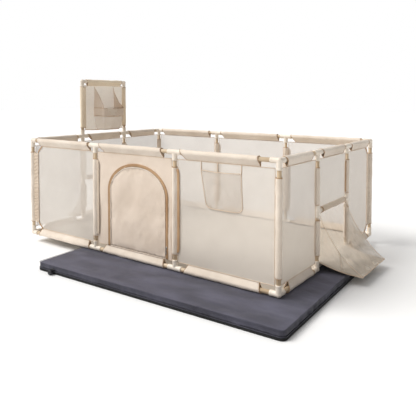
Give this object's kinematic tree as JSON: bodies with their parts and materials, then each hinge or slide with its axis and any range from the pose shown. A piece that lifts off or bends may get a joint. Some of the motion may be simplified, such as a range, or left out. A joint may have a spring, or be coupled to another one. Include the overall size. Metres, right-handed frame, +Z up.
{
  "type": "playpen",
  "caption": "Rectangular tube-frame play yard with fabric and mesh walls, zipped door flap, goal nets, backboard with basket, side pocket, sewn floor and a thick plush mat under it.",
  "frame": {"origin": "on the floor, below the middle of the tube frame", "axes": "+X along the long front side, to the right seen from the front; +Y from the front to the back; +Z up"},
  "size_m": [2.326, 1.6477, 1.1013],
  "materials": {
    "tube": "satin",
    "connector": "satin",
    "wall_fabric": "matte",
    "panel_fabric": "matte",
    "floor_fabric": "matte",
    "net": "matte",
    "plush": "matte",
    "dark_plastic": "satin",
    "zip_metal": "satin"
  },
  "bodies": {
    "frame": {"back_wall": "wall_fabric", "backboard_cloth": "panel_fabric", "backboard_frame": "tube", "bottom_connector_back_1": "connector", "bottom_connector_back_2": "connector", "bottom_connector_back_left": "connector", "bottom_connector_back_right": "connector", "bottom_connector_front_1": "connector", "bottom_connector_front_2": "connector", "bottom_connector_front_left": "connector", "bottom_connector_front_right": "connector", "bottom_rail_back": "tube", "bottom_rail_front": "tube", "bottom_rail_left_back": "tube", "bottom_rail_left_front": "tube", "bottom_rail_right_back": "tube", "bottom_rail_right_front": "tube", "floor_cloth": "floor_fabric", "front_wall": "wall_fabric", "goal_crossbar_left": "tube", "goal_crossbar_right": "tube", "goal_net_left": "net", "goal_net_right": "net", "hoop_band": "panel_fabric", "hoop_net": "net", "left_wall": "wall_fabric", "pocket": "net", "post_back_1": "tube", "post_back_2": "tube", "post_back_left": "tube", "post_back_right": "tube", "post_front_1": "tube", "post_front_2": "tube", "post_front_left": "tube", "post_front_right": "tube", "post_left_1": "tube", "post_left_2": "tube", "post_right_1": "tube", "post_right_2": "tube", "right_wall": "wall_fabric", "top_connector_back_1": "connector", "top_connector_back_2": "connector", "top_connector_back_left": "connector", "top_connector_back_right": "connector", "top_connector_front_1": "connector", "top_connector_front_2": "connector", "top_connector_front_left": "connector", "top_connector_front_right": "connector", "top_connector_left_1": "connector", "top_connector_left_2": "connector", "top_connector_right_1": "connector", "top_connector_right_2": "connector", "top_rail_back": "tube", "top_rail_front": "tube", "top_rail_left": "tube", "top_rail_right": "tube"},
    "door_flap": {"door_flap": "panel_fabric"},
    "zip_slider": {"zip_slider": "zip_metal"},
    "mat": {"mat": "plush"},
    "valve_cap": {"valve_cap": "dark_plastic"}
  },
  "joints": [
    {"name": "door_hinge", "type": "hinge", "parent": "frame", "child": "door_flap", "pos_m": [0.031, -0.636, 0.1023], "axis": [1, 0, 0], "range_deg": [0, 95]},
    {"name": "zip_slide", "type": "slide", "parent": "frame", "child": "zip_slider", "axis": [0, 0, 1], "range_m": [-0.03, 0.26]},
    {"name": "mat_slide", "type": "slide", "parent": "frame", "child": "mat", "axis": [-0.9994, -0.0349, 0], "range_m": [0, 0.4]},
    {"name": "valve_turn", "type": "hinge", "parent": "mat", "child": "valve_cap", "pos_m": [-0.28671, -0.97546, 0.016], "axis": [0.0349, -0.9994, 0], "range_deg": [0, 360]}
  ]
}
